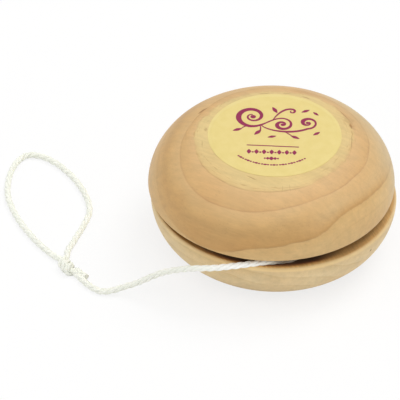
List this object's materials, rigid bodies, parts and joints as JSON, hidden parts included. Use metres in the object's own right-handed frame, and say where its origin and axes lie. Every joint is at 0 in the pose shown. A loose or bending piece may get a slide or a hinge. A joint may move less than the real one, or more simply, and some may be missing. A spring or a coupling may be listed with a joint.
{
  "type": "yo-yo",
  "caption": "Wooden yo-yo: turned domed halves on a glued dowel axle with a round paper label, and a twisted string wound in the gap and ending in a knotted finger loop.",
  "frame": {"origin": "centre of the lower half's flat outer face, which rests on the table", "axes": "+Z along the axle from the lower half to the labelled upper half; the string leaves the gap at the front (-Y) and lies to the left (-X)"},
  "size_m": [0.0917, 0.0573, 0.0294],
  "materials": {
    "turned_wood": "fine-sanded unfinished hardwood, growth rings showing, satin",
    "turned_wood_lower": "fine-sanded unfinished hardwood, slightly greyer blank, satin",
    "dowel_wood": "plain birch dowel, grain along the axle, matt",
    "label_paper": "uncoated cream yellow paper with a dark purple printed ornament",
    "cord": "white twisted cotton-polyester string, matt"
  },
  "bodies": {
    "yoyo_body": {"lower_half": "turned_wood_lower", "upper_half": "turned_wood", "axle_dowel": "dowel_wood", "label_disc": "label_paper"},
    "winding": {"string_axle_loop": "cord", "string_coil": "cord"},
    "outer_turn": {"string_outer_turn": "cord"},
    "lead": {"string_lead": "cord"},
    "segment_1": {"string_segment_1": "cord"},
    "segment_2": {"string_segment_2": "cord"},
    "segment_3": {"string_segment_3": "cord"},
    "segment_4": {"string_segment_4": "cord"},
    "knot": {"string_knot": "cord", "string_tail": "cord"},
    "loop_left_lower": {"loop_left_lower": "cord"},
    "loop_left_upper": {"loop_left_upper": "cord"},
    "loop_left_tip": {"loop_left_tip": "cord"},
    "loop_right_lower": {"loop_right_lower": "cord"},
    "loop_right_upper": {"loop_right_upper": "cord"},
    "loop_right_tip": {"loop_right_tip": "cord"}
  },
  "joints": [
    {"name": "axle_spin", "type": "hinge", "parent": "yoyo_body", "child": "winding", "pos_m": [0, 0, 0.0146], "axis": [0, 0, 1], "continuous": true},
    {"name": "unwind", "type": "hinge", "parent": "winding", "child": "outer_turn", "pos_m": [0, 0, 0.0146], "axis": [0, 0, 1], "range_deg": [0, 45]},
    {"name": "string_payout", "type": "slide", "parent": "outer_turn", "child": "lead", "axis": [-0.9882, -0.153, 0], "range_m": [0, 0.0204]},
    {"name": "bend_1_up_down", "type": "hinge", "parent": "lead", "child": "segment_1", "pos_m": [-0.0123, -0.0281, 0.01325], "axis": [0.0698, 0.9976, 0], "range_deg": [-35, 40]},
    {"name": "bend_2_sideways", "type": "hinge", "parent": "segment_1", "child": "segment_2", "pos_m": [-0.0235, -0.0251, 0.00855], "axis": [0, 0, 1], "range_deg": [-25, 40]},
    {"name": "bend_3_up_down", "type": "hinge", "parent": "segment_2", "child": "segment_3", "pos_m": [-0.0322, -0.0237, 0.0027], "axis": [0.1045, 0.9945, 0], "range_deg": [-30, 40]},
    {"name": "bend_4_sideways", "type": "hinge", "parent": "segment_3", "child": "segment_4", "pos_m": [-0.0392, -0.0234, 0.00075], "axis": [0, 0, 1], "range_deg": [-25, 40]},
    {"name": "knot_up_down", "type": "hinge", "parent": "segment_4", "child": "knot", "pos_m": [-0.044, -0.0184, 0.00075], "axis": [0.7958, 0.6055, 0], "range_deg": [-35, 40]},
    {"name": "finger_loop_open", "type": "hinge", "parent": "knot", "child": "loop_left_lower", "pos_m": [-0.0475, -0.0138, 0.00075], "axis": [0, 0, 1], "range_deg": [-14, 18]},
    {"name": "loop_left_shoulder", "type": "hinge", "parent": "loop_left_lower", "child": "loop_left_upper", "pos_m": [-0.0616, 0.008, 0.00075], "axis": [0, 0, 1], "range_deg": [-36.5, 28.5]},
    {"name": "loop_left_crown", "type": "hinge", "parent": "loop_left_upper", "child": "loop_left_tip", "pos_m": [-0.0578, 0.02595, 0.00075], "axis": [0, 0, 1], "range_deg": [-14.5, 18.5]},
    {"name": "loop_right_root", "type": "hinge", "parent": "knot", "child": "loop_right_lower", "pos_m": [-0.0475, -0.0138, 0.00075], "axis": [0, 0, 1], "range_deg": [-18.5, 14.5]},
    {"name": "loop_right_shoulder", "type": "hinge", "parent": "loop_right_lower", "child": "loop_right_upper", "pos_m": [-0.0437, 0.00415, 0.00075], "axis": [0, 0, 1], "range_deg": [-28.5, 36.5]},
    {"name": "loop_right_crown", "type": "hinge", "parent": "loop_right_upper", "child": "loop_right_tip", "pos_m": [-0.0578, 0.02595, 0.00075], "axis": [0, 0, 1], "range_deg": [-18.5, 14.5]}
  ],
  "couplings": [
    {"joint": "string_payout", "follows": "unwind", "m_per_rad": 0.02577},
    {"joint": "loop_left_shoulder", "follows": "finger_loop_open", "ratio": -2},
    {"joint": "loop_left_crown", "follows": "finger_loop_open", "ratio": 1},
    {"joint": "loop_right_root", "follows": "finger_loop_open", "ratio": -1},
    {"joint": "loop_right_shoulder", "follows": "finger_loop_open", "ratio": 2},
    {"joint": "loop_right_crown", "follows": "finger_loop_open", "ratio": -1}
  ]
}
